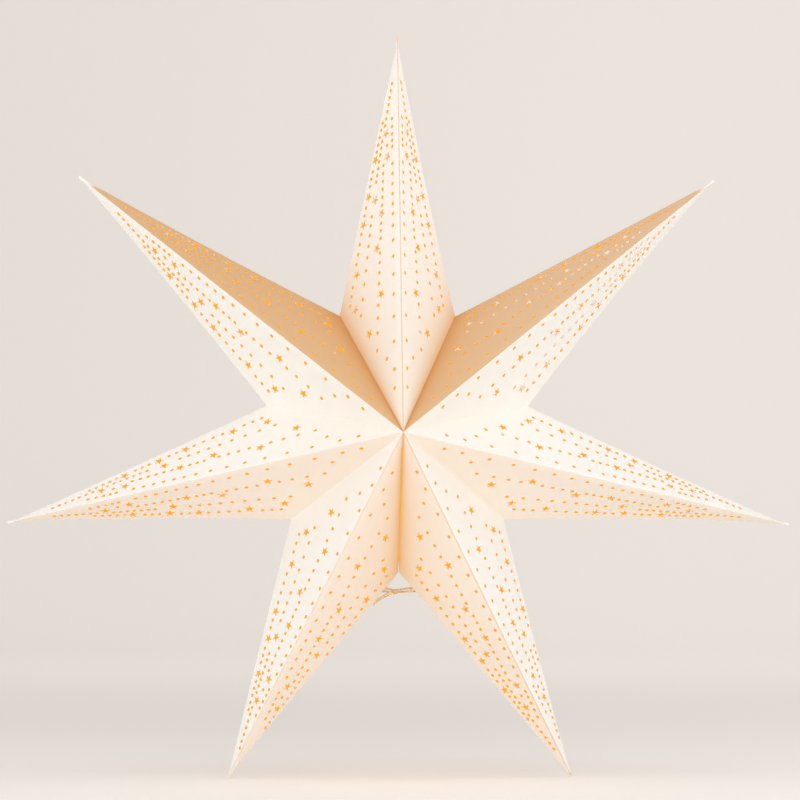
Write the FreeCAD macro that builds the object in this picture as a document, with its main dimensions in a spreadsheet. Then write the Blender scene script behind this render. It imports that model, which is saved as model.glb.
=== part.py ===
"""Seven-pointed hanging star of pierced white card, folded as hollow rays.

Seven hollow rays of thin card stand round one axis. Each ray is one folded sheet: four flat
three-cornered panels meet at its tip, two in front and two behind, with a mountain fold down the
middle of each side and a sharp fold along each edge. Neighbouring rays are glued by narrow flaps
along their valleys. The lowest valley stays unglued, so that the star folds flat, and a twine tie
holds it shut. The front faces -Y, the top ray points up +Z, and the origin is the tip of the top
ray, where the star is hung. All sizes are in millimetres.
"""
import FreeCAD, Part
import math
import os
from FreeCAD import Placement, Rotation, Vector

SIZES = (
    ("reach_top", 308),
    ("reach_upper_right", 315),
    ("reach_right", 308),
    ("reach_lower_right", 290),
    ("reach_lower_left", 288),
    ("reach_left", 303),
    ("reach_upper_left", 314),
    ("notch_reach", 102.5),
    ("apex_depth", 85),
    ("ray_pitch_degrees", 51.1),
    ("card_thickness", 0.4),
    ("flap_width", 8),
    ("flap_end_gap", 9),
    ("flap_taper", 7),
    ("seam_slit", 1),
    ("seam_closed_length", 12),
    ("star_hole_radius", 3.7),
    ("star_hole_waist", 1.7),
    ("tie_hole_below_notch", 15.5),
    ("tie_hole_inset", 6),
    ("tie_hole_radius", 2.6),
    ("twine_diameter", 1.4),
    ("strand_gap", 0.4),
    ("knot_radius", 2.3),
    ("knot_length", 5),
    ("knot_off_centre", 3),
    ("knot_sag", 1.5),
    ("stop_knot_radius", 3.4),
    ("stop_knot_length", 5),
    ("stop_knot_clearance", 0.2),
    ("tail_reach", 17),
    ("tail_drop", 11),
)

# Rays clockwise from the top, seen from the front.
RAYS = ("top", "upper_right", "right", "lower_right", "lower_left", "left", "upper_left")

# Star-shaped holes of one panel: the share of the way from the apex to the tip along the ridge,
# and the share of the way from the ridge to the notch.
STAR_PLACES = (
    (0.103, 0.50),
    (0.099, 0.73),
    (0.264, 0.30),
    (0.197, 0.70),
    (0.360, 0.36),
    (0.358, 0.58),
    (0.474, 0.27),
    (0.480, 0.38),
)
STAR_POINTS = 5
FULL_TURN = 360.0
# A cutting prism is this many times as deep as the card is thick.
PUNCH_DEPTHS = 4
# How much the cutting body of a ray's hollow outgrows the ray, so that it clears the open side.
HOLLOW_GROWTH = 1.3
# The tail's bend, as shares of the tail's reach and of its drop.
TAIL_BEND_OUT = 0.55
TAIL_BEND_DOWN = 0.35

doc = FreeCAD.newDocument("paper_star")
sheet = doc.addObject("Spreadsheet::Sheet", "Sizes")
for row, (alias, value) in enumerate(SIZES, start=1):
    sheet.set("A%d" % row, alias)
    sheet.set("B%d" % row, str(value))
    sheet.setAlias("B%d" % row, alias)
doc.recompute()


def size(alias):
    """One driving dimension from the sheet."""
    return float(sheet.get(alias))


def in_plane(reach, bearing):
    """A point of the middle plane, by its distance from the axis and its bearing from the top."""
    angle = math.radians(bearing)
    return Vector(reach * math.sin(angle), 0, reach * math.cos(angle))


def unit(vector):
    """The vector's direction."""
    return vector / vector.Length


def solid_from(corners, faces):
    """A closed flat-sided solid from its corners and its faces' corner numbers."""
    sides = []
    for face in faces:
        loop = [corners[i] for i in face]
        sides.append(Part.Face(Part.makePolygon(loop + loop[:1])))
    return Part.Solid(Part.makeShell(sides))


class Ray:
    """The corners of one ray: its tip, its two notches and the star's front and back apex."""

    def __init__(self, index):
        last = (len(RAYS) - 1) // 2
        pitch = size("ray_pitch_degrees")
        bearing = pitch * (index if index <= last else index - len(RAYS))
        self.name = RAYS[index]
        self.seam = {"before": index == last + 1, "after": index == last}
        # The two lowest rays share the seam notch, straight below the axis.
        before = -FULL_TURN / 2 if self.seam["before"] else bearing - pitch / 2
        after = FULL_TURN / 2 if self.seam["after"] else bearing + pitch / 2
        self.tip = in_plane(size("reach_" + self.name), bearing)
        self.notch_before = in_plane(size("notch_reach"), before)
        self.notch_after = in_plane(size("notch_reach"), after)
        self.front = Vector(0, -size("apex_depth"), 0)
        self.back = Vector(0, size("apex_depth"), 0)

    def panels(self):
        """The four panels as (apex, notch) pairs: each also has the tip as a corner."""
        return [(apex, notch) for apex in (self.front, self.back)
                for notch in (self.notch_before, self.notch_after)]

    def outward(self, apex, notch):
        """A panel's outward direction."""
        normal = unit((self.tip - apex).cross(notch - apex))
        return normal if normal.dot(apex) > 0 else -normal


def ray_envelope(ray):
    """The full outer form of a ray, closed by the two valley planes through the axis."""
    corners = (ray.tip, ray.front, ray.back, ray.notch_before, ray.notch_after)
    faces = ((0, 1, 3), (0, 4, 1), (0, 3, 2), (0, 2, 4), (1, 2, 3), (1, 4, 2))
    return solid_from(corners, faces)


def ray_hollow(ray, envelope):
    """The hollow: the same form set inwards by the card's thickness, and open to the axis."""
    normals = [ray.outward(apex, notch) for apex, notch in ray.panels()[:3]]
    one, two, three = normals
    crossed = two.cross(three) + three.cross(one) + one.cross(two)
    inset = crossed * (size("card_thickness") / one.dot(two.cross(three)))
    hollow = envelope.copy()
    hollow.scale(HOLLOW_GROWTH, ray.tip)
    hollow.translate(-inset)
    return hollow


def glue_flap(ray, apex, notch, set_off):
    """A strip turned in along a valley, on the ray's own side of the valley plane."""
    along = unit(notch - apex)
    inwards = unit(-apex - along * along.dot(-apex))
    into_ray = unit(Vector(0, 1, 0).cross(notch))
    if into_ray.dot(ray.tip) < 0:
        into_ray = -into_ray
    gap = size("flap_end_gap")
    width = size("flap_width")
    taper = size("flap_taper")
    if set_off:
        gap = max(gap, size("seam_closed_length"))
    start = apex + along * gap + into_ray * set_off
    end = notch - along * size("flap_end_gap") + into_ray * set_off
    loop = [start, end, end - along * taper + inwards * width, start + along * taper + inwards * width]
    strip = Part.Face(Part.makePolygon(loop + loop[:1]))
    return strip.extrude(into_ray * size("card_thickness"))


def star_cutter():
    """A five-pointed prism about the Z axis, with one point towards +Y."""
    depth = PUNCH_DEPTHS * size("card_thickness")
    loop = []
    for step in range(2 * STAR_POINTS):
        radius = size("star_hole_waist") if step % 2 else size("star_hole_radius")
        angle = math.pi / 2 + step * math.pi / STAR_POINTS
        loop.append(Vector(radius * math.cos(angle), radius * math.sin(angle), -depth / 2))
    return Part.Face(Part.makePolygon(loop + loop[:1])).extrude(Vector(0, 0, depth))


def ray_cutters(ray, cutter):
    """The cutting prisms of every star hole on a ray's four panels."""
    prisms = []
    for apex, notch in ray.panels():
        normal = ray.outward(apex, notch)
        ridge = unit(ray.tip - apex)
        to_notch = notch - apex
        up = -unit(to_notch - ridge * ridge.dot(to_notch))
        turn = Rotation(ridge, up, normal, "ZYX")
        for along, across in STAR_PLACES:
            place = apex + (ray.tip - apex) * along + to_notch * across
            prism = cutter.copy()
            prism.Placement = Placement(place, turn)
            prisms.append(prism)
    return prisms


class TieHole:
    """The punched hole that holds the tie, on a lowest ray's back panel beside the seam."""

    def __init__(self, ray):
        notch = ray.notch_after if ray.seam["after"] else ray.notch_before
        edge = unit(ray.tip - notch)
        inwards = ray.back - notch
        inwards = unit(inwards - edge * edge.dot(inwards))
        on_edge = notch + edge * (size("tie_hole_below_notch") / abs(edge.z))
        self.centre = on_edge + inwards * size("tie_hole_inset")
        self.outward = ray.outward(ray.back, notch)

    def punch(self):
        """The round cutter of the hole."""
        depth = PUNCH_DEPTHS * size("card_thickness")
        base = self.centre - self.outward * (depth / 2)
        return Part.makeCylinder(size("tie_hole_radius"), depth, base, self.outward)

    def stop_knot_centre(self, towards):
        """The stop knot's middle, inside the ray, on the line of the strands."""
        pull = unit(towards - self.centre)
        behind = size("stop_knot_length") / 2 + size("card_thickness") + size("stop_knot_clearance")
        return self.centre - pull * (behind / pull.dot(self.outward))


def folded_sheet(ray):
    """One ray's card, folded: four panels and four flaps, and half the slit on a lowest ray."""
    envelope = ray_envelope(ray)
    shape = envelope.cut(ray_hollow(ray, envelope))
    width = size("seam_slit")
    if any(ray.seam.values()):
        top = -size("seam_closed_length")
        height = 2 * size("notch_reach")
        depth = 2 * size("apex_depth")
        slit = Part.makeBox(width, 2 * depth, height, Vector(-width / 2, -depth, top - height))
        shape = shape.cut(slit)
    flaps = []
    for apex in (ray.front, ray.back):
        for side, notch in (("before", ray.notch_before), ("after", ray.notch_after)):
            flaps.append(glue_flap(ray, apex, notch, width / 2 if ray.seam[side] else 0))
    return shape.fuse(flaps).removeSplitter()


def hang(feature):
    """Puts an object modelled about the star's centre where it hangs below the origin."""
    feature.setExpression("Placement.Base.z", "-Sizes.reach_top")
    return feature


def add_ray(ray, cutter):
    """A ray: its folded sheet less the holes punched in it."""
    name = "ray_" + ray.name
    folded = doc.addObject("Part::Feature", name + "_sheet")
    folded.Shape = folded_sheet(ray)
    holes = doc.addObject("Part::Feature", name + "_holes")
    punches = ray_cutters(ray, cutter)
    if any(ray.seam.values()):
        punches.append(TieHole(ray).punch())
    holes.Shape = Part.makeCompound(punches)
    pierced = doc.addObject("Part::Cut", name)
    pierced.Label = name
    pierced.Base = folded
    pierced.Tool = holes
    return hang(pierced)


def barrel_knot(name, kind, centre, axis):
    """A knot of wrapped twine, as a plain barrel about the given axis."""
    barrel = doc.addObject("Part::Cylinder", name)
    barrel.setExpression("Radius", "Sizes.%s_radius" % kind)
    barrel.setExpression("Height", "Sizes.%s_length" % kind)
    base = centre - unit(axis) * (size(kind + "_length") / 2)
    barrel.Placement = Placement(base, Rotation(Vector(0, 0, 1), axis))
    return barrel


def strand(name, start, end):
    """One straight stretch of twine."""
    rod = doc.addObject("Part::Cylinder", name)
    rod.setExpression("Radius", "Sizes.twine_diameter / 2")
    rod.Height = (end - start).Length
    rod.Placement = Placement(start, Rotation(Vector(0, 0, 1), end - start))
    return rod


def tail_pieces(knot):
    """The short free end of the twine: away from the knot, then down, round at its bend."""
    reach = size("tail_reach")
    drop = size("tail_drop")
    bend = knot + Vector(-reach * TAIL_BEND_OUT, 0, -drop * TAIL_BEND_DOWN)
    tip = knot + Vector(-reach, 0, -drop)
    ball = doc.addObject("Part::Sphere", "tail_bend")
    ball.setExpression("Radius", "Sizes.twine_diameter / 2")
    ball.Placement = Placement(bend, Rotation(Vector(0, 0, 1), tip - bend))
    return [strand("tail_root", knot, bend), ball, strand("tail_end", bend, tip)]


def add_tie(lowest):
    """The twine: doubled through both punched holes, stopped inside by knots, tied in the gap."""
    holes = [TieHole(ray) for ray in lowest]
    between = (holes[0].centre + holes[1].centre) / 2
    knot = between - Vector(size("knot_off_centre"), 0, size("knot_sag"))
    pieces = [barrel_knot("tie_knot", "knot", knot, holes[1].centre - holes[0].centre)]
    apart = Vector(0, 0, (size("twine_diameter") + size("strand_gap")) / 2)
    for number, hole in enumerate(holes, start=1):
        stop = hole.stop_knot_centre(knot)
        pieces.append(barrel_knot("stop_knot_%d" % number, "stop_knot", stop, hole.outward))
        pieces.append(strand("upper_strand_%d" % number, knot + apart, stop + apart))
        pieces.append(strand("lower_strand_%d" % number, knot - apart, stop - apart))
    pieces.extend(tail_pieces(knot))
    tie = doc.addObject("Part::MultiFuse", "tie_string")
    tie.Label = "tie_string"
    tie.Shapes = pieces
    return hang(tie)


cutter = star_cutter()
rays = [Ray(index) for index in range(len(RAYS))]
sub_parts = [add_ray(ray, cutter) for ray in rays]
sub_parts.append(add_tie([ray for ray in rays if any(ray.seam.values())]))
doc.recompute()

os.makedirs("parts", exist_ok=True)
for thing in doc.Objects:
    if "Invalid" in thing.State or "Error" in thing.State:
        raise RuntimeError("%s failed: %s" % (thing.Label, thing.State))
for part in sub_parts:
    if part.Shape.isNull() or not part.Shape.isValid():
        raise RuntimeError("%s has no valid shape" % part.Label)
    print(part.Label, "solids", len(part.Shape.Solids), "volume", round(part.Shape.Volume, 1))
for part in sub_parts:
    part.Shape.exportStep("parts/%s.step" % part.Label)
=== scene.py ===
"""The looks of a seven-pointed star of folded, pierced card, glowing warm from inside.

Each ray of the frame is dressed with one pierced card shell: four panels, their folds, the glue
flaps and real holes through the card's thickness. The tie is twisted twine. Lengths named _MM are
in millimetres, and every other length is in metres. Panel coordinates are those of one flat panel:
x runs along the ridge from the apex, y runs from the ridge towards the notch.
"""
import math

import bpy
import bmesh
from mathutils import Matrix, Vector
from mathutils.geometry import delaunay_2d_cdt


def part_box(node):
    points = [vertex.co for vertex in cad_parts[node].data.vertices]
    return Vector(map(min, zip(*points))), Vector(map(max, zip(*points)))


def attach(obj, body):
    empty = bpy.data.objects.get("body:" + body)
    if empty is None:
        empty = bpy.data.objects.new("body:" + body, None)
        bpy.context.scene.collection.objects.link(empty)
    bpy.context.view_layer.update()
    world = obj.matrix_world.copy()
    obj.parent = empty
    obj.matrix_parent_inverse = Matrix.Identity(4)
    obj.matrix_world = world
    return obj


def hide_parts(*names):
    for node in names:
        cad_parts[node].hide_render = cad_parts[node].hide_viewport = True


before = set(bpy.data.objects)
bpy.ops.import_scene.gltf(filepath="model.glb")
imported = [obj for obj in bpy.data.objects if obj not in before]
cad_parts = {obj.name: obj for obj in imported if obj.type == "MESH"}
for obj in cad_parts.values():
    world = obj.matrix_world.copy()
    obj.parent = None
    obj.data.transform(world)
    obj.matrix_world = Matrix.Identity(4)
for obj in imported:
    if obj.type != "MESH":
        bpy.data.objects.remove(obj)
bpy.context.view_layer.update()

MM = 0.001

# Rays clockwise from the top, seen from the front. A pair gives the side before the ray and the one
# after it. Per ray: how far each silhouette edge bows inwards at its middle, and the share of the
# ray that is its blunt tip. How much painted warm shade each side's card has, how much painted glow
# it gives, how much painted shade darkens its valley, and how strong the painted shade along the
# fold's line is. How many degrees clockwise the tip was bent in gluing. Where the holes lie: their
# shift and scale along the ridge, and how far each side's are off the ridge.
RAYS = {
    "top": dict(bow_mm=(-0.3, 1.6), spike=0.017, warm=(0.06, 0.06), glow=(0.05, 0.05),
                valley=(1.0, 1.0), line=1.0,
                turn=0.0, shift_mm=-1.9, scale=1.001, off_mm=(2.7, -0.1)),
    "upper_right": dict(bow_mm=(0.4, 2.2), spike=0.012, warm=(0.9, 0.0), glow=(0.10, 0.01),
                        valley=(1.0, 0.0), line=0.0,
                        turn=-0.17, shift_mm=0.5, scale=0.968, off_mm=(3.7, -0.1)),
    "right": dict(bow_mm=(1.1, 1.8), spike=0.018, warm=(0.03, 0.14), glow=(0.01, 0.09),
                  valley=(0.0, 0.0), line=0.1,
                  turn=0.3, shift_mm=-2.2, scale=0.990, off_mm=(2.6, 1.4)),
    "lower_right": dict(bow_mm=(0.85, 0.1), spike=0.005, warm=(0.0, 0.14), glow=(0.01, 0.11),
                        valley=(0.0, 0.9), line=0.9,
                        turn=-0.5, shift_mm=-5.8, scale=1.049, off_mm=(2.4, -0.7)),
    "lower_left": dict(bow_mm=(0.75, -0.1), spike=0.005, warm=(0.17, 0.0), glow=(0.11, 0.01),
                       valley=(1.0, 0.0), line=0.5,
                       turn=-0.2, shift_mm=-5.9, scale=1.052, off_mm=(3.8, -2.0)),
    "left": dict(bow_mm=(1.5, 0.45), spike=0.018, warm=(0.17, 0.06), glow=(0.09, 0.02),
                 valley=(0.0, 0.0), line=0.1,
                 turn=-0.3, shift_mm=-3.2, scale=1.005, off_mm=(1.5, 1.0)),
    "upper_left": dict(bow_mm=(1.1, 1.1), spike=0.005, warm=(0.0, 1.0), glow=(0.01, 0.10),
                       valley=(0.0, 1.0), line=0.0,
                       turn=0.26, shift_mm=-1.3, scale=0.981, off_mm=(1.0, 2.2)),
}

# The hole pattern's scale across a panel, and its shift on the back, where it lies off the front's.
HOLES_ACROSS = 0.965
BACK_SHIFT_MM = 4.5

# The card, its blunt tips and its glue flaps. Near the tip the card thins to fit the room left.
CARD_MM = 0.4
TIP_ROOM_SHARE = 0.8
TIP_LAYERS = 3
TIP_LEAST_SHARE = 0.05
SHARP_DEGREES = 28
SPIKE_HALF_WIDTH_MM = 0.85
FLAP_WIDTH_MM = 8.0
FLAP_END_GAP_MM = 9.0
FLAP_TAPER_MM = 7.0

# One flat panel: the apex is at (0, 0), the tip at (PANEL_LENGTH_MM, 0) and the notch at NOTCH_MM.
PANEL_LENGTH_MM = 312.0
NOTCH_MM = (111.6, 72.0)
TIP_SHARE = 0.998
CROWN_HALF_MM = 0.6
CROWN_SLOPE = 0.2
CROWN_SHARE = 0.4
CROWN_RISE = 0.45
EDGE_STEPS = 30
VALLEY_STEPS = 14

# The round holes, in runs: first place, last place, count, and the ratio of one gap to the last.
DOT_RADIUS_MM = 1.5
HOLE_MARGIN_MM = 0.3
DOT_SIDES = 12
DOT_RUNS = (
    ((37.9, 6.75), (37.9, 6.75), 1, 1.0),
    ((52.3, 6.7), (164.2, 6.0), 8, 0.9),
    ((173.6, 5.95), (213.7, 5.8), 6, 1.0),
    ((227.3, 5.75), (249.8, 5.7), 5, 1.1),
    ((62.8, 15.3), (62.8, 15.3), 1, 1.0),
    ((230.4, 12.0), (230.4, 12.0), 1, 1.0),
    ((72.6, 26.9), (107.3, 24.8), 4, 0.86),
    ((124.0, 23.6), (147.7, 22.0), 4, 0.95),
    ((159.0, 21.0), (170.7, 20.2), 3, 1.0),
    ((184.6, 18.9), (215.8, 16.6), 6, 1.0),
    ((105.5, 45.9), (179.5, 31.4), 9, 0.92),
    ((205.3, 25.6), (235.6, 17.8), 7, 1.0),
    ((247.0, 14.25), (278.2, 5.3), 7, 1.0),
    ((117.2, 59.0), (130.75, 55.3), 3, 1.0),
    ((147.5, 50.7), (169.6, 44.25), 4, 1.0),
    ((183.0, 40.2), (188.9, 38.3), 2, 1.0),
    ((204.5, 33.25), (215.0, 29.7), 3, 1.0),
    ((229.3, 24.7), (250.2, 17.2), 5, 1.0),
)

# The star holes, each turned a little from one point towards the ridge.
STAR_RADIUS_MM = 4.3
STAR_WAIST_MM = 1.75
STAR_POINTS = 5
STAR_TURN_DEGREES = -18
STARS = ((88.1, 35.8), (112.3, 52.5), (115.1, 21.3), (139.3, 50.4), (152.3, 25.7), (176.3, 41.8),
         (178.3, 19.7), (191.7, 27.1), (196.7, 34.8), (221.2, 11.9), (223.3, 26.3), (240.4, 13.3))

# The tie: its holes beside the lowest notch, and where its knot lies.
TIE_BELOW_NOTCH_MM = 15.5
TIE_INSET_MM = 6.0
TIE_HOLE_MM = 2.6
TIE_HOLE_SIDES = 20
KNOT_OFF_MM = 3.0
KNOT_SAG_MM = 1.5

# The knot in the gap, and the stop knot inside each ray.
KNOT_STEPS_A_TURN = 10
KNOT_STEPS = 30
KNOT_START = 0.8
KNOT_RADIUS_MM = 1.2
KNOT_LENGTH_MM = 3.2
STOP_STEPS = 24
STOP_RADIUS_MM = 2.2
STOP_LENGTH_MM = 2.6
STOP_IN_MM = 3.1
STOP_AWAY_MM = 2.0

# The two strands to each hole, upper and lower: how far one lies off the hole's middle, at the knot
# and inside as a share of that, and how far it bulges forwards and upwards halfway.
STRAND_LIFT_MM = 0.9
STRAND_LIFT_AT_KNOT = 0.8
STRAND_LIFT_INSIDE = 0.6
STRAND_BULGE_MM = {1: (-0.5, 1.6), -1: (0.5, -0.8)}

# The free tail: its route from the knot, with the share of its lift, and the lifts of its strands.
TAIL_MM = ((0, 0, 0, 0), (-4.2, -1.5, -2.4, 1), (-9.0, -2.2, -4.8, 1), (-13.5, -2.0, -7.7, 1),
           (-16.4, -1.5, -10.6, 0.5))
TAIL_LIFTS_MM = (0.0, 1.5)
TAIL_SIZE = 0.7
TAIL_PHASE = 0.4

# The twine: two plies, how far each lies off the middle, and the length of one twist.
PLY_RADIUS_MM = 0.5
PLY_OFF_MM = 0.38
PLY_SIDES = 8
PLY_END_SHARE = 0.6
TWIST_MM = 4.6
TWINE_STEP_MM = 0.3
CURVE_STEPS = 12

# The seam: how far each lip stands off the middle, and where it starts.
SEAM_HALF_MM = 0.4
SEAM_SHIFT_MM = -0.4
SEAM_CLOSED_MM = 13.0
SEAM_NOTCH_MM = 1.25
SEAM_OPENS_OVER_MM = 2.5

# The camera, from the photograph: its angles, distance, lens and where the star's middle falls.
CAMERA_AZIMUTH = -2.93
CAMERA_ELEVATION = -2.48
CAMERA_DISTANCE = 2.3
PIXELS_WIDE = 800
FOCAL_PIXELS = 3013.0
SENSOR_MM = 36.0
CENTRE_PIXEL = (397.5, 437.0)
CLIP_RANGE = (0.05, 50)


def lerp(a, b, t):
    return a + (b - a) * t


def smooth(t):
    t = min(max(t, 0.0), 1.0)
    return t * t * (3 - 2 * t)


# Flat pattern of one panel

def run_places(first, last, count, ratio):
    """The places of one run of holes, whose gaps grow or shrink by a ratio."""
    gaps = [ratio ** i for i in range(count - 1)]
    total = sum(gaps) or 1.0
    places, done = [first], 0.0
    for gap in gaps:
        done += gap
        places.append((lerp(first[0], last[0], done / total), lerp(first[1], last[1], done / total)))
    return places


def dot_loop(centre, radius, sides):
    turn = 2 * math.pi / sides
    return [(centre[0] + radius * math.cos(i * turn), centre[1] + radius * math.sin(i * turn))
            for i in range(sides)]


def star_loop(centre):
    loop = []
    for step in range(2 * STAR_POINTS):
        radius = STAR_WAIST_MM if step % 2 else STAR_RADIUS_MM
        angle = math.radians(STAR_TURN_DEGREES - 90) + step * math.pi / STAR_POINTS
        loop.append((centre[0] + radius * math.cos(angle), centre[1] + radius * math.sin(angle)))
    return loop


def crown_y(x):
    """How far from the ridge line a panel starts: the rounded fold takes the rest."""
    along = x / PANEL_LENGTH_MM
    return min(CROWN_HALF_MM, CROWN_SLOPE * x, CROWN_SHARE * NOTCH_MM[1] * (1 - along))


RIDGE_X = ([0.0, 3.0, 8.0] + [float(x) for x in range(15, 300, 9)]
           + [300.0, 304.0, 307.5, TIP_SHARE * PANEL_LENGTH_MM, PANEL_LENGTH_MM])


def panel_outline(spike):
    """The panel's edge loop: along the crown, back along the silhouette, and up the valley."""
    loop = [(x, crown_y(x)) for x in RIDGE_X]
    loop[-1] = (PANEL_LENGTH_MM, 0.0)
    shares = {TIP_SHARE, 1 - spike, 1 - spike / 2} | {i / EDGE_STEPS for i in range(EDGE_STEPS)}
    for u in sorted(shares, reverse=True):
        loop.append((u * PANEL_LENGTH_MM + (1 - u) * NOTCH_MM[0], (1 - u) * NOTCH_MM[1]))
    length = math.hypot(*NOTCH_MM)
    shares = {i / VALLEY_STEPS for i in range(1, VALLEY_STEPS)}
    shares |= {SEAM_CLOSED_MM / length, (SEAM_CLOSED_MM + SEAM_OPENS_OVER_MM) / length}
    loop += [(share * NOTCH_MM[0], share * NOTCH_MM[1]) for share in sorted(shares, reverse=True)]
    return loop


def clear_of_edges(loop):
    """Whether a hole keeps some card between it and the panel's three edges."""
    height = PANEL_LENGTH_MM * NOTCH_MM[1] / math.hypot(PANEL_LENGTH_MM - NOTCH_MM[0], NOTCH_MM[1])
    for x, y in loop:
        v = y / NOTCH_MM[1]
        u = (x - v * NOTCH_MM[0]) / PANEL_LENGTH_MM
        if y < CROWN_HALF_MM + HOLE_MARGIN_MM or u < 0 or (1 - u - v) * height < HOLE_MARGIN_MM:
            return False
    return True


# What the triangulation gives back: the inside of the outline, without the holes
INSIDE_WITHOUT_HOLES = 2
MERGE_MM = 1e-5


def flat_panel(look, apex, side, extra_holes=()):
    """Corners and triangles of the flat panel with its holes cut out."""
    def placed(place):
        return (look["shift_mm"] + look["scale"] * place[0] + apex * BACK_SHIFT_MM,
                look["off_mm"][side] + HOLES_ACROSS * place[1])

    holes = [star_loop(placed(place)) for place in STARS]
    for first, last, count, ratio in DOT_RUNS:
        holes += [dot_loop(placed(p), DOT_RADIUS_MM, DOT_SIDES)
                  for p in run_places(first, last, count, ratio)]
    holes = [hole for hole in holes if clear_of_edges(hole)]
    for extra in extra_holes:
        middle = Vector((sum(p[0] for p in extra), sum(p[1] for p in extra))) / len(extra)
        clear = max((Vector(p) - middle).length for p in extra) + DOT_RADIUS_MM / 2
        holes = [h for h in holes if min((Vector(p) - middle).length for p in h) > clear]
    holes += list(extra_holes)
    corners, loops = [], []
    for loop in [panel_outline(look["spike"])] + holes:
        loops.append(list(range(len(corners), len(corners) + len(loop))))
        corners += [Vector(p) for p in loop]
    found = delaunay_2d_cdt(corners, [], loops, INSIDE_WITHOUT_HOLES, MERGE_MM)
    return [tuple(p) for p in found[0]], [tuple(f) for f in found[2]]


# The rays in space

class Ray:
    """The corners of one ray, read from its node of the frame."""

    def __init__(self, name):
        self.name = name
        self.node = "ray_" + name
        self.bow = [b * MM for b in RAYS[name]["bow_mm"]]
        self.spike = RAYS[name]["spike"]
        points = [v.co.copy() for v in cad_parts[self.node].data.vertices]
        self.tip = max(points, key=lambda p: (p - CENTRE).length)
        self.tip.y = 0.0
        turn = Matrix.Rotation(math.radians(RAYS[name]["turn"]), 3, "Y")
        self.tip = CENTRE + turn @ (self.tip - CENTRE)
        outward = (self.tip - CENTRE).normalized()
        clockwise = Vector((outward.z, 0, -outward.x))
        level = [p for p in points if abs(p.y) < 1e-5]
        self.notches = [min(level, key=lambda p: (p - CENTRE).dot(clockwise)),
                        max(level, key=lambda p: (p - CENTRE).dot(clockwise))]
        self.seam_side = {"lower_right": 1, "lower_left": 0}.get(name)
        if self.seam_side is not None:
            level_z = self.notches[self.seam_side].z
            self.notches[self.seam_side] = Vector((SEAM_NOTCH_MM * MM, 0, level_z))
        self.apexes = [CENTRE - Vector((0, DEPTH, 0)), CENTRE + Vector((0, DEPTH, 0))]

    def edge_point(self, side, u):
        """A point of the silhouette edge, from the notch (0) to the tip (1)."""
        notch = self.notches[side]
        axis = (self.tip - CENTRE).normalized()
        across = (notch - CENTRE) - axis * (notch - CENTRE).dot(axis)
        half = across.length
        width = max(half * (1 - u / (1 - self.spike)), SPIKE_HALF_WIDTH_MM * MM)
        pulled = self.bow[side] * 4 * u * (1 - u) + half * (1 - u) - width
        return notch.lerp(self.tip, u) - across.normalized() * pulled

    def place(self, apex, side, x, y):
        """Where a point of the flat panel lies."""
        if x > PANEL_LENGTH_MM - 1e-4:
            return self.tip.copy()
        v = y / NOTCH_MM[1]
        u = (x - v * NOTCH_MM[0]) / PANEL_LENGTH_MM
        across = min(v / (1 - u), 1.0)
        ridge = self.apexes[apex].lerp(self.tip, u)
        at = ridge.lerp(self.edge_point(side, u), across)
        if side == self.seam_side and u < 1e-5:
            down = (at - self.apexes[apex]).length / MM
            open_share = smooth((down - SEAM_CLOSED_MM - 0.2) / SEAM_OPENS_OVER_MM)
            lip = -1 if self.name == "lower_left" else 1
            at.x += (lip * SEAM_HALF_MM + SEAM_SHIFT_MM) * open_share * MM
        return at


def panel_uv(x, y):
    return x / PANEL_LENGTH_MM, y / PANEL_LENGTH_MM


def tie_hole(ray):
    """The tie hole's middle, the panel's outward direction and two directions in the panel."""
    notch = ray.notches[ray.seam_side]
    edge = (ray.tip - notch).normalized()
    inwards = ray.apexes[1] - notch
    inwards = (inwards - edge * edge.dot(inwards)).normalized()
    centre = notch + edge * (TIE_BELOW_NOTCH_MM * MM / abs(edge.z)) + inwards * TIE_INSET_MM * MM
    outward = edge.cross(inwards)
    if outward.y < 0:
        outward = -outward
    return centre, outward, edge, inwards


def tie_hole_loop(ray):
    """The tie hole as a loop on the flat panel."""
    centre, _, edge, inwards = tie_hole(ray)
    apex, notch = ray.apexes[1], ray.notches[ray.seam_side]
    to_tip, to_notch = ray.tip - apex, notch - apex
    normal = to_tip.cross(to_notch)
    loop = []
    for i in range(TIE_HOLE_SIDES):
        angle = 2 * math.pi * i / TIE_HOLE_SIDES
        p = centre + (edge * math.cos(angle) + inwards * math.sin(angle)) * TIE_HOLE_MM * MM - apex
        u = normal.dot(p.cross(to_notch)) / normal.length_squared
        v = normal.dot(to_tip.cross(p)) / normal.length_squared
        loop.append((u * PANEL_LENGTH_MM + v * NOTCH_MM[0], v * NOTCH_MM[1]))
    return loop


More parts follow.
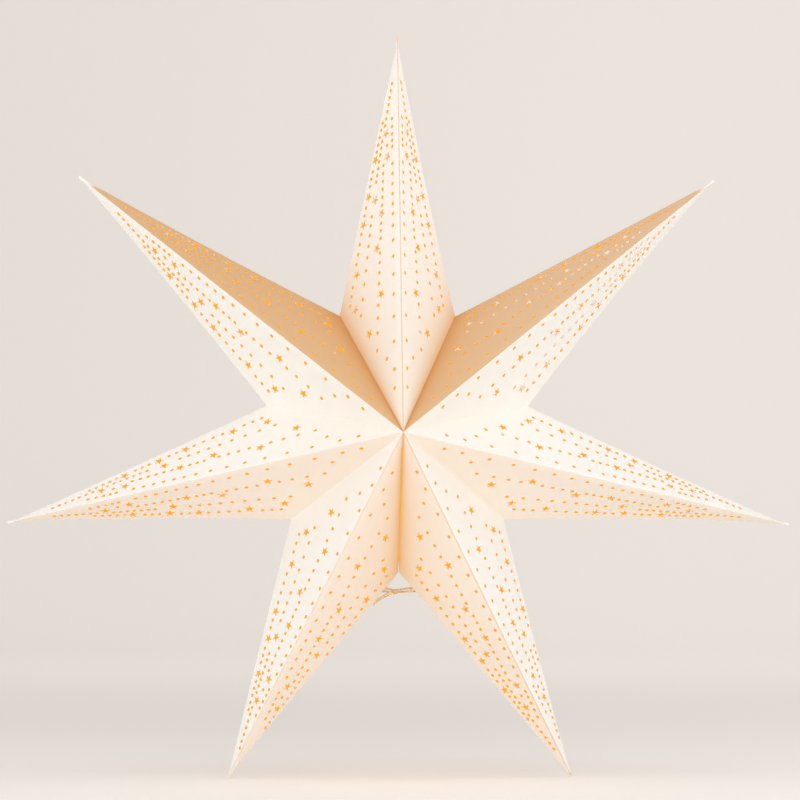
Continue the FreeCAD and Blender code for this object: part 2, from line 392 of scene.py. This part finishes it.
class Shell:
    """A ray's open shell while it is made, with its paint: the panel's own place, how much painted
    warm shade the card has, how much painted shade its valley has, and how strong the painted shade
    along the fold's line is."""

    def __init__(self, ray):
        self.ray = ray
        self.mesh = bmesh.new()
        self.uv = self.mesh.loops.layers.uv.new("panel")
        self.paint = {key: self.mesh.faces.layers.float.new(key)
                      for key in ("warm", "glow", "valley", "line")}

    def face(self, verts, places, side):
        new = self.mesh.faces.new(verts)
        for loop, place in zip(new.loops, places):
            loop[self.uv].uv = panel_uv(*place)
        look = RAYS[self.ray.name]
        for key in ("warm", "glow", "valley"):
            new[self.paint[key]] = look[key][side]
        new[self.paint["line"]] = look["line"]

    def panel(self, apex, side, flat):
        """One pierced panel."""
        corners, faces = flat
        made = [self.mesh.verts.new(self.ray.place(apex, side, x, y)) for x, y in corners]
        for face in faces:
            self.face([made[i] for i in face], [corners[i] for i in face], side)

    def crown(self, apex):
        """The rounded fold between the two panels of one face."""
        rows = []
        for x in RIDGE_X:
            y = crown_y(x)
            sides = [self.ray.place(apex, side, x, y) for side in (0, 1)]
            middle = (sides[0] + sides[1]) / 2
            crest = self.ray.apexes[apex].lerp(self.ray.tip, x / PANEL_LENGTH_MM)
            crest = middle.lerp(crest, CROWN_RISE)
            rows.append(((sides[0], x, y), (crest, x, 0.0), (sides[1], x, y)))
        for near, far in zip(rows, rows[1:]):
            for i in (0, 1):
                quad = [near[i], near[i + 1], far[i + 1], far[i]]
                kept = [q for n, q in enumerate(quad) if (q[0] - quad[n - 1][0]).length > 1e-7]
                if len(kept) > 2:
                    self.face([self.mesh.verts.new(q[0]) for q in kept], [q[1:] for q in kept], i)

    def finished(self):
        """The shell as an object, facing outwards."""
        mesh = self.mesh
        bmesh.ops.remove_doubles(mesh, verts=mesh.verts, dist=2e-6)
        bmesh.ops.recalc_face_normals(mesh, faces=mesh.faces)
        middle = CENTRE.lerp(self.ray.tip, 0.3)
        if sum(f.normal.dot(f.calc_center_median() - middle) for f in mesh.faces) < 0:
            bmesh.ops.reverse_faces(mesh, faces=mesh.faces)
        data = bpy.data.meshes.new("card_" + self.ray.name)
        mesh.to_mesh(data)
        mesh.free()
        piece = bpy.data.objects.new(data.name, data)
        bpy.context.collection.objects.link(piece)
        return piece


def card_ray(ray, flats):
    """The whole ray as one open shell."""
    shell = Shell(ray)
    for apex in (0, 1):
        for side in (0, 1):
            shell.panel(apex, side, flats[(apex, side)])
        shell.crown(apex)
    return shell.finished()


def thicken(piece, ray):
    """Gives the card its thickness inwards, thinner where the tip has no room for it."""
    group = piece.vertex_groups.new(name="card")
    reach = (ray.tip - CENTRE).length
    for v in piece.data.vertices:
        left = (1 - (v.co - CENTRE).length / reach) * DEPTH
        share = left * TIP_ROOM_SHARE / (TIP_LAYERS * CARD_MM * MM)
        group.add([v.index], min(1.0, max(share, TIP_LEAST_SHARE)), "REPLACE")
    solid = piece.modifiers.new("card", "SOLIDIFY")
    solid.thickness = CARD_MM * MM
    solid.offset = -1
    solid.use_even_offset = True
    solid.vertex_group = "card"
    solid.material_offset = 1
    solid.material_offset_rim = 2
    bpy.context.view_layer.update()
    evaluated = piece.evaluated_get(bpy.context.evaluated_depsgraph_get())
    data = bpy.data.meshes.new_from_object(evaluated)
    piece.modifiers.clear()
    piece.vertex_groups.clear()
    piece.data = data
    data.polygons.foreach_set("use_smooth", [True] * len(data.polygons))
    data.set_sharp_from_angle(angle=math.radians(SHARP_DEGREES))


def flap_mesh(ray):
    """The four glue flaps of a ray, as thin tapered strips."""
    mesh = bmesh.new()
    for apex in ray.apexes:
        for side in (0, 1):
            notch = ray.notches[side]
            along = (notch - apex).normalized()
            to_axis = CENTRE - apex
            inwards = (to_axis - along * along.dot(to_axis)).normalized()
            into = Vector((0, 1, 0)).cross(notch - CENTRE).normalized()
            if into.dot(ray.tip - CENTRE) < 0:
                into = -into
            gap = FLAP_END_GAP_MM * MM
            set_off = Vector()
            if side == ray.seam_side:
                gap = SEAM_CLOSED_MM * MM
                lip = -1 if ray.name == "lower_left" else 1
                set_off = Vector(((lip * SEAM_HALF_MM + SEAM_SHIFT_MM) * MM, 0, 0))
            sunk = inwards * CARD_MM * MM
            start = apex + along * gap + set_off + sunk
            end = notch - along * FLAP_END_GAP_MM * MM + set_off + sunk
            taper, width = along * FLAP_TAPER_MM * MM, inwards * FLAP_WIDTH_MM * MM
            outline = [start, end, end - taper + width, start + taper + width]
            near = [mesh.verts.new(p) for p in outline]
            far = [mesh.verts.new(p + into * CARD_MM * MM) for p in outline]
            mesh.faces.new(near)
            mesh.faces.new(far[::-1])
            for i in range(4):
                j = (i + 1) % 4
                mesh.faces.new([near[j], near[i], far[i], far[j]])
    bmesh.ops.recalc_face_normals(mesh, faces=mesh.faces)
    data = bpy.data.meshes.new("flaps")
    mesh.to_mesh(data)
    mesh.free()
    return data


# Twine

def smooth_path(points, step):
    """Evenly spaced points on a soft curve through the given ones."""
    dense = []
    padded = [points[0] * 2 - points[1]] + points + [points[-1] * 2 - points[-2]]
    for i in range(1, len(padded) - 2):
        a, b, c, d = padded[i - 1:i + 3]
        for s in range(CURVE_STEPS):
            t = s / CURVE_STEPS
            dense.append(0.5 * ((2 * b) + (c - a) * t + (2 * a - 5 * b + 4 * c - d) * t * t
                                + (3 * b - a - 3 * c + d) * t * t * t))
    dense.append(points[-1])
    even, left = [dense[0]], step
    for a, b in zip(dense, dense[1:]):
        length = (b - a).length
        done = 0.0
        while length - done > left:
            done += left
            even.append(a.lerp(b, done / length))
            left = step
        left -= length - done
    even.append(dense[-1])
    return even


def add_tube(mesh, centres, radius, sides):
    """A closed tube along a line of points."""
    rings = []
    side = None
    for i, centre in enumerate(centres):
        ahead = (centres[min(i + 1, len(centres) - 1)] - centres[max(i - 1, 0)]).normalized()
        if side is None:
            side = ahead.orthogonal().normalized()
        side = (side - ahead * side.dot(ahead)).normalized()
        other = ahead.cross(side)
        grown = radius * (PLY_END_SHARE if i in (0, len(centres) - 1) else 1.0)
        rings.append([mesh.verts.new(centre + (side * math.cos(2 * math.pi * k / sides)
                                               + other * math.sin(2 * math.pi * k / sides)) * grown)
                      for k in range(sides)])
    for a, b in zip(rings, rings[1:]):
        for k in range(sides):
            j = (k + 1) % sides
            mesh.faces.new([a[k], a[j], b[j], b[k]])
    mesh.faces.new(rings[0][::-1])
    mesh.faces.new(rings[-1])


def add_twine(mesh, points, phase=0.0, size=1.0):
    """Two plies twisted round each other along a route."""
    ply, lay = PLY_RADIUS_MM * MM * size, PLY_OFF_MM * MM * size
    route = smooth_path(points, TWINE_STEP_MM * MM)
    for k in (0, 1):
        line = []
        side = None
        for i, p in enumerate(route):
            ahead = (route[min(i + 1, len(route) - 1)] - route[max(i - 1, 0)]).normalized()
            if side is None:
                side = ahead.orthogonal().normalized()
            side = (side - ahead * side.dot(ahead)).normalized()
            angle = phase + k * math.pi + 2 * math.pi * i * TWINE_STEP_MM * MM / (TWIST_MM * MM)
            line.append(p + (side * math.cos(angle) + ahead.cross(side) * math.sin(angle)) * lay)
        add_tube(mesh, line, ply, PLY_SIDES)


def twine_tie(lower_left, lower_right):
    """The tie: doubled twine through both holes, a wrapped knot, stop knots and a free tail."""
    holes = [tie_hole(ray) for ray in (lower_right, lower_left)]
    knot = (holes[0][0] + holes[1][0]) / 2 - Vector((KNOT_OFF_MM, 0, KNOT_SAG_MM)) * MM
    mesh = bmesh.new()
    for number, (centre, outward, _, _) in enumerate(holes):
        away = (centre - knot).normalized()
        inside = centre - outward * STOP_IN_MM * MM + away * STOP_AWAY_MM * MM
        for up in (1, -1):
            lift = Vector((0, 0, STRAND_LIFT_MM * MM * up))
            bulge = Vector((0, STRAND_BULGE_MM[up][0] * MM, STRAND_BULGE_MM[up][1] * MM))
            mid = knot.lerp(centre, 0.5) + bulge
            add_twine(mesh, [knot + lift * STRAND_LIFT_AT_KNOT, mid, centre + lift,
                             inside + lift * STRAND_LIFT_INSIDE], phase=number + up)
        wraps = []
        one = outward.orthogonal().normalized()
        two = outward.cross(one)
        for i in range(STOP_STEPS + 1):
            angle = 2 * math.pi * i / KNOT_STEPS_A_TURN
            round_it = (one * math.cos(angle) + two * math.sin(angle)) * STOP_RADIUS_MM * MM
            wraps.append(inside + round_it + outward * (i / STOP_STEPS - 0.5) * STOP_LENGTH_MM * MM)
        add_twine(mesh, wraps)
    wraps = []
    for i in range(KNOT_STEPS + 1):
        angle = 2 * math.pi * i / KNOT_STEPS_A_TURN + KNOT_START
        wraps.append(knot + Vector(((i / KNOT_STEPS - 0.5) * KNOT_LENGTH_MM * MM,
                                    math.cos(angle) * KNOT_RADIUS_MM * MM,
                                    math.sin(angle) * KNOT_RADIUS_MM * MM)))
    add_twine(mesh, wraps, phase=1.0)
    for lift in TAIL_LIFTS_MM:
        tail = [knot + Vector((x, y, z + lift * share)) * MM for x, y, z, share in TAIL_MM]
        add_twine(mesh, tail, phase=TAIL_PHASE + lift, size=TAIL_SIZE)
    data = bpy.data.meshes.new("twine_tie")
    mesh.to_mesh(data)
    mesh.free()
    data.polygons.foreach_set("use_smooth", [True] * len(data.polygons))
    piece = bpy.data.objects.new("twine_tie", data)
    bpy.context.collection.objects.link(piece)
    return piece


# Materials

class Nodes:
    """A small helper that adds and links the nodes of one material."""

    def __init__(self, name):
        self.material = bpy.data.materials.new(name)
        self.material.use_nodes = True
        self.tree = self.material.node_tree
        self.shader = self.tree.nodes["Principled BSDF"]

    def add(self, kind, **inputs):
        """Adds a node; a value that is a socket is linked, and any other is set."""
        node = self.tree.nodes.new(kind)
        for key, value in inputs.items():
            if hasattr(node, key) and not key.startswith("in_"):
                setattr(node, key, value)
                continue
            place = key[3:]
            socket = node.inputs[int(place)] if place.isdigit() else node.inputs[place]
            self.feed(socket, value)
        return node

    def feed(self, socket, value):
        if isinstance(value, bpy.types.NodeSocket):
            self.tree.links.new(value, socket)
        else:
            socket.default_value = value

    def math(self, operation, a, b=0.0):
        node = self.add("ShaderNodeMath", operation=operation, in_0=a, in_1=b)
        return node.outputs[0]

    def fade(self, value, near, far):
        """1 at near, 0 at far, smooth between."""
        node = self.add("ShaderNodeMapRange", interpolation_type="SMOOTHERSTEP")
        for socket, number in zip(("Value", "From Min", "From Max", "To Min", "To Max"),
                                  (value, near, far, 1.0, 0.0)):
            self.feed(node.inputs[socket], number)
        return node.outputs["Result"]

    def mix(self, factor, a, b, blend="MIX"):
        node = self.tree.nodes.new("ShaderNodeMix")
        node.data_type = "RGBA"
        node.blend_type = blend
        self.feed(node.inputs[0], factor)
        self.feed(node.inputs[6], a)
        self.feed(node.inputs[7], b)
        return node.outputs[2]

    def noise(self, scale, detail=2.0, rough=0.5):
        place = self.add("ShaderNodeTexCoord").outputs["Object"]
        node = self.add("ShaderNodeTexNoise")
        for socket, value in (("Vector", place), ("Scale", scale), ("Detail", detail),
                              ("Roughness", rough)):
            self.feed(node.inputs[socket], value)
        return node.outputs["Fac"]

    def bump(self, height, strength, distance):
        node = self.add("ShaderNodeBump")
        self.feed(node.inputs["Height"], height)
        self.feed(node.inputs["Strength"], strength)
        self.feed(node.inputs["Distance"], distance)
        self.tree.links.new(node.outputs["Normal"], self.shader.inputs["Normal"])

    def set(self, **values):
        for key, value in values.items():
            self.feed(self.shader.inputs[key.replace("_", " ")], value)


def colour(red, green, blue):
    """A display colour, 0 to 255, as the linear colour the shader takes."""
    linear = []
    for value in (red, green, blue):
        c = value / 255
        linear.append(c / 12.92 if c <= 0.04045 else ((c + 0.055) / 1.055) ** 2.4)
    return (*linear, 1.0)


CARD = colour(250, 249, 244)
CARD_MOTTLE = colour(248, 245, 238)
# Painted shade on the card: a warm tan where little light falls, stronger near the star's middle, a
# tan along the fold's crown, and a darkening towards each valley with a darker crease at it.
CARD_PAINTED_SHADE = colour(212, 174, 135)
CARD_FOLD_SHADE = colour(224, 188, 152)
VALLEY_SHADE = (0.83, 0.58, 0.34, 1.0)
VALLEY_CREASE_SHADE = (0.95, 0.85, 0.78, 1.0)
SHADE_SPREAD = 0.11
SHADE_START_MM = 1.0
CENTRE_PAINTED_SHADE = 0.09
# Painted glow: the card's emission stands in for warm light from a lamp inside the star, faint on
# the outside and strong on the inside.
GLOW = colour(255, 188, 90)
INSIDE = colour(160, 118, 56)
INSIDE_GLOW = (colour(255, 184, 36), colour(255, 200, 60))
INSIDE_STRENGTH = 0.64
EDGE = colour(252, 214, 150)
EDGE_MOTTLE = colour(248, 196, 120)
TWINE_LIGHT = colour(248, 212, 158)
TWINE_DARK = colour(218, 170, 114)
FLOOR = colour(240, 234, 228)
FLOOR_MOTTLE = colour(243, 237, 231)
FLOOR_LIGHT = colour(255, 246, 238)

# Where the tones of the card fade, as places along the panel or distances from a line of it.
TIP_FADE = (0.94, 0.985)
CENTRE_REACH = 0.55
CREASE_MM = (0.3, 0.9)
FOLD_MM = (0.5, 1.1)
FOLD_SHADE_STRENGTH = 0.75
LEAST_GLOW = 0.01

# Noise by scale, detail and roughness, and bumps by strength and height in metres.
MOTTLE_NOISE = (90.0, 4.0, 0.6)
SWELL_NOISE = (22.0, 1.0, 0.4)
GRAIN_NOISE = (1800.0, 3.0, 0.6)
GRAIN_SHARE = 0.04
CARD_BUMP = (0.5, 0.0012)
GLOW_NOISE = (14.0, 2.0, 0.5)
INSIDE_NOISE = (1500.0, 2.0, 0.5)
INSIDE_BUMP = (0.2, 0.00005)
EDGE_NOISE = (2500.0, 2.0, 0.5)
FIBRE_STRETCH = (1.0, 1.0, 3.0)
FIBRE_NOISE = (1600.0, 4.0, 0.7)
TWINE_PATCH_NOISE = (260.0, 2.0, 0.5)
TWINE_SPLIT = (0.36, 0.62)
TWINE_BUMP = (0.5, 0.00015)
FLOOR_NOISE = (0.8, 2.0, 0.5)


def card_outside():
    n = Nodes("card_outside")
    uv = n.add("ShaderNodeUVMap", uv_map="panel").outputs["UV"]
    split = n.add("ShaderNodeSeparateXYZ", in_0=uv)
    x, y = split.outputs[0], split.outputs[1]
    warm, glow, valley, line = (n.add("ShaderNodeAttribute", attribute_name=key).outputs["Fac"]
                                for key in ("warm", "glow", "valley", "line"))
    # Painted shade: the card darkens softly and warmly towards the valley, more widely away from the
    # apex, with a darker painted crease line right at the valley.
    angle = math.atan2(NOTCH_MM[1], NOTCH_MM[0])
    from_valley = n.math("SUBTRACT", n.math("MULTIPLY", x, math.sin(angle)),
                         n.math("MULTIPLY", y, math.cos(angle)))
    distance = n.math("SQRT", n.math("ADD", n.math("MULTIPLY", x, x), n.math("MULTIPLY", y, y)))
    reach = n.math("ADD", n.math("MULTIPLY", distance, SHADE_SPREAD),
                   SHADE_START_MM / PANEL_LENGTH_MM)
    faded = n.math("POWER", math.exp(-1), n.math("DIVIDE", from_valley, reach))
    shade = n.math("MULTIPLY", faded, valley)
    near, far = (mm / PANEL_LENGTH_MM for mm in CREASE_MM)
    crease_shade = n.math("MULTIPLY", n.fade(from_valley, near, far), valley)
    # Painted warm shade, per side and stronger near the star's middle, fading out towards the tip.
    warm = n.math("ADD", warm, n.math("MULTIPLY", n.fade(distance, 0.0, CENTRE_REACH), CENTRE_PAINTED_SHADE))
    warm = n.math("MULTIPLY", warm, n.fade(x, *TIP_FADE))
    # Painted shade: a tan line along the fold's crown beside the ridge, as strong as the ray's line
    # value.
    near, far = (mm / PANEL_LENGTH_MM for mm in FOLD_MM)
    fold = n.math("MULTIPLY", n.fade(y, near, far), line)
    paper = n.mix(n.noise(*MOTTLE_NOISE), CARD, CARD_MOTTLE)
    tone = n.mix(warm, paper, CARD_PAINTED_SHADE)
    tone = n.mix(shade, tone, VALLEY_SHADE, "MULTIPLY")
    tone = n.mix(crease_shade, tone, VALLEY_CREASE_SHADE, "MULTIPLY")
    tone = n.mix(n.math("MULTIPLY", fold, FOLD_SHADE_STRENGTH), tone, CARD_FOLD_SHADE)
    # The emission is painted glow, warm light from inside the star that no lamp gives.
    n.set(Base_Color=tone, Roughness=0.78, Emission_Color=GLOW,
          Emission_Strength=n.math("ADD", glow, LEAST_GLOW))
    n.shader.inputs["Specular IOR Level"].default_value = 0.25
    swell, grain = n.noise(*SWELL_NOISE), n.noise(*GRAIN_NOISE)
    n.bump(n.math("ADD", swell, n.math("MULTIPLY", grain, GRAIN_SHARE)), *CARD_BUMP)
    return n.material


def card_inside():
    n = Nodes("card_inside")
    # Painted glow: the inside gives off warm light, as if lit by a lamp inside the star.
    n.set(Base_Color=INSIDE, Roughness=0.85,
          Emission_Color=n.mix(n.noise(*GLOW_NOISE), *INSIDE_GLOW),
          Emission_Strength=INSIDE_STRENGTH)
    n.bump(n.noise(*INSIDE_NOISE), *INSIDE_BUMP)
    return n.material


def card_edge():
    n = Nodes("card_edge")
    n.set(Base_Color=n.mix(n.noise(*EDGE_NOISE), EDGE, EDGE_MOTTLE), Roughness=0.9)
    return n.material


def twine():
    n = Nodes("twine")
    place = n.add("ShaderNodeTexCoord").outputs["Object"]
    stretched = n.add("ShaderNodeVectorMath", operation="MULTIPLY", in_0=place,
                      in_1=FIBRE_STRETCH).outputs[0]
    scale, detail, rough = FIBRE_NOISE
    fibre = n.add("ShaderNodeTexNoise", in_Vector=stretched, in_Scale=scale, in_Detail=detail,
                  in_Roughness=rough).outputs["Fac"]
    spread = n.math("MULTIPLY", n.math("ADD", fibre, n.noise(*TWINE_PATCH_NOISE)), 0.5)
    n.set(Base_Color=n.mix(n.fade(spread, *TWINE_SPLIT), TWINE_LIGHT, TWINE_DARK), Roughness=0.9)
    n.shader.inputs["Sheen Weight"].default_value = 0.25
    n.bump(fibre, *TWINE_BUMP)
    return n.material


# Floor, backdrop, lights and camera

# The floor and the backdrop in metres, front to back, and the bend between them.
FLOOR_FRONT = -6.0
BEND_START, BEND_RADIUS, BEND_STEPS = 3.7, 1.6, 16
WALL_HEIGHT = 6.0
FLOOR_HALF_WIDTH = 7.0

# How much the camera sees the floor and the backdrop lifted: near the star, on the right, and all
# over. Two pairs give where the first fades out and where the second comes in, in metres.
NEAR_LIFT = -0.1838
RIGHT_LIFT = 0.0603
FAR_LIFT = 0.3219
NEAR_FADE = (0.0, 3.0)
RIGHT_FADE = (1.4, -1.4)


def sweep(floor_z):
    """A floor that runs up into a backdrop on one soft bend."""
    profile = [(FLOOR_FRONT, floor_z), (BEND_START, floor_z)]
    for i in range(1, BEND_STEPS + 1):
        angle = math.pi / 2 * i / BEND_STEPS
        profile.append((BEND_START + BEND_RADIUS * math.sin(angle),
                        floor_z + BEND_RADIUS * (1 - math.cos(angle))))
    profile.append((BEND_START + BEND_RADIUS, floor_z + WALL_HEIGHT))
    verts = [(x, y, z) for y, z in profile for x in (-FLOOR_HALF_WIDTH, FLOOR_HALF_WIDTH)]
    faces = [(2 * i, 2 * i + 1, 2 * i + 3, 2 * i + 2) for i in range(len(profile) - 1)]
    data = bpy.data.meshes.new("floor")
    data.from_pydata(verts, [], faces)
    data.polygons.foreach_set("use_smooth", [True] * len(faces))
    piece = bpy.data.objects.new("floor", data)
    bpy.context.collection.objects.link(piece)
    n = Nodes("floor")
    n.set(Base_Color=n.mix(n.noise(*FLOOR_NOISE), FLOOR, FLOOR_MOTTLE), Roughness=0.9)
    n.shader.inputs["Specular IOR Level"].default_value = 0.1
    seen = n.add("ShaderNodeLightPath").outputs["Is Camera Ray"]
    place = n.add("ShaderNodeSeparateXYZ", in_0=n.add("ShaderNodeTexCoord").outputs["Object"])
    near = n.math("MULTIPLY", n.fade(place.outputs[1], *NEAR_FADE), NEAR_LIFT)
    right = n.math("MULTIPLY", n.fade(place.outputs[0], *RIGHT_FADE), RIGHT_LIFT)
    lift = n.math("ADD", n.math("ADD", near, right), FAR_LIFT)
    n.set(Emission_Color=FLOOR_LIGHT, Emission_Strength=n.math("MULTIPLY", seen, lift))
    data.materials.append(n.material)
    return piece


def softbox(name, place, aim, width, height, power):
    """A wide lamp that the camera doesn't see, in metres and watts."""
    light = bpy.data.lights.new(name, "AREA")
    light.shape = "RECTANGLE"
    light.size, light.size_y = width, height
    light.energy = power
    lamp = bpy.data.objects.new(name, light)
    lamp.location = place
    lamp.rotation_euler = (Vector(aim) - Vector(place)).to_track_quat("-Z", "Y").to_euler()
    lamp.visible_camera = False
    bpy.context.collection.objects.link(lamp)


def make_world(strength, tint):
    world = bpy.data.worlds.new("world")
    bpy.context.scene.world = world
    world.use_nodes = True
    background = world.node_tree.nodes["Background"]
    background.inputs["Color"].default_value = tint
    background.inputs["Strength"].default_value = strength


def make_camera():
    azimuth, elevation = math.radians(CAMERA_AZIMUTH), math.radians(CAMERA_ELEVATION)
    back = Vector((math.sin(azimuth) * math.cos(elevation), -math.cos(azimuth) * math.cos(elevation),
                   math.sin(elevation)))
    data = bpy.data.cameras.new("camera")
    data.sensor_width = SENSOR_MM
    data.lens = FOCAL_PIXELS / PIXELS_WIDE * SENSOR_MM
    data.clip_start, data.clip_end = CLIP_RANGE
    camera = bpy.data.objects.new("camera", data)
    bpy.context.collection.objects.link(camera)
    camera.location = CENTRE + back * CAMERA_DISTANCE
    right = Vector((math.cos(azimuth), math.sin(azimuth), 0))
    up = back.cross(right)
    pixel = CAMERA_DISTANCE / FOCAL_PIXELS
    middle = PIXELS_WIDE / 2
    aim = (CENTRE + right * (middle - CENTRE_PIXEL[0]) * pixel
           + up * (CENTRE_PIXEL[1] - middle) * pixel)
    camera.rotation_euler = (aim - camera.location).to_track_quat("-Z", "Y").to_euler()
    bpy.context.scene.camera = camera


TOP_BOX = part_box("ray_top")
CENTRE = Vector((0, 0, TOP_BOX[0].z))
DEPTH = -TOP_BOX[0].y

rays = {name: Ray(name) for name in RAYS}
outside, inside, edge_material = card_outside(), card_inside(), card_edge()
for name, ray in rays.items():
    flats = {}
    for apex in (0, 1):
        for side in (0, 1):
            tie_holes = [tie_hole_loop(ray)] if apex == 1 and side == ray.seam_side else []
            flats[(apex, side)] = flat_panel(RAYS[name], apex, side, tie_holes)
    piece = card_ray(ray, flats)
    for material in (outside, inside, edge_material):
        piece.data.materials.append(material)
    thicken(piece, ray)
    flaps = bpy.data.objects.new("flaps_" + name, flap_mesh(ray))
    flaps.data.materials.append(inside)
    bpy.context.collection.objects.link(flaps)
    for obj in (piece, flaps):
        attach(obj, "root")
    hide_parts(ray.node)

tie = twine_tie(rays["lower_left"], rays["lower_right"])
tie.data.materials.append(twine())
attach(tie, "root")
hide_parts("tie_string")

floor_z = min(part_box(ray.node)[0].z for ray in rays.values())
sweep(floor_z)
LAMP_AIM = (0, 0, -0.3)
softbox("light_left", (-1.7, -0.15, 0.2), LAMP_AIM, 1.4, 1.0, 5)
softbox("light_right", (1.7, -0.15, 0.2), LAMP_AIM, 1.4, 1.0, 5)
softbox("light_floor", (0, -1.35, floor_z + 0.42), (0, -0.65, floor_z + 0.68), 3.0, 0.7, 9.5)
softbox("light_front", (0, -2.6, 0.12), LAMP_AIM, 1.8, 1.25, 9.5)
softbox("light_top", (0.1, -0.7, 1.1), LAMP_AIM, 1.2, 1.2, 4)
make_world(0.48, (0.985, 0.99, 1.0, 1.0))
make_camera()
bpy.context.scene.view_settings.view_transform = "Standard"
